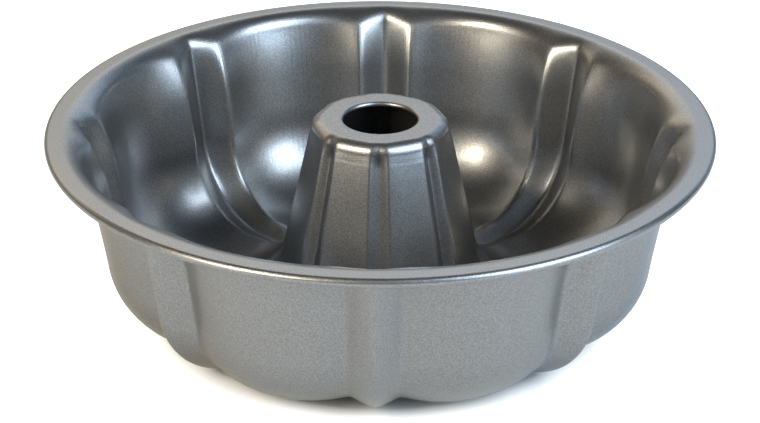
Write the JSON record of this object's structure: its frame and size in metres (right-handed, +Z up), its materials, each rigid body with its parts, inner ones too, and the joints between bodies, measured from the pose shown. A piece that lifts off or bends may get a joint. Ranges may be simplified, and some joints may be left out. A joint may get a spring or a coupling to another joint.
{
  "type": "fluted tube pan",
  "caption": "Round fluted cake pan of coated steel with V-grooved lobes, a tapered hollow centre tube and a rolled rim, for baking ring cakes.",
  "frame": {"origin": "on the table, on the pan's axis, under its middle", "axes": "+Z up along the tube's axis; one groove of the wall faces -Y"},
  "size_m": [0.254, 0.254, 0.0782],
  "materials": {
    "dark_coating": "satin non-stick coating, dark grey with a fine metallic fleck",
    "wire_steel": "drawn wire"
  },
  "bodies": {
    "root": {"fluted_shell": "dark_coating", "centre_tube": "dark_coating", "rim_wire": "wire_steel"}
  },
  "joints": []
}
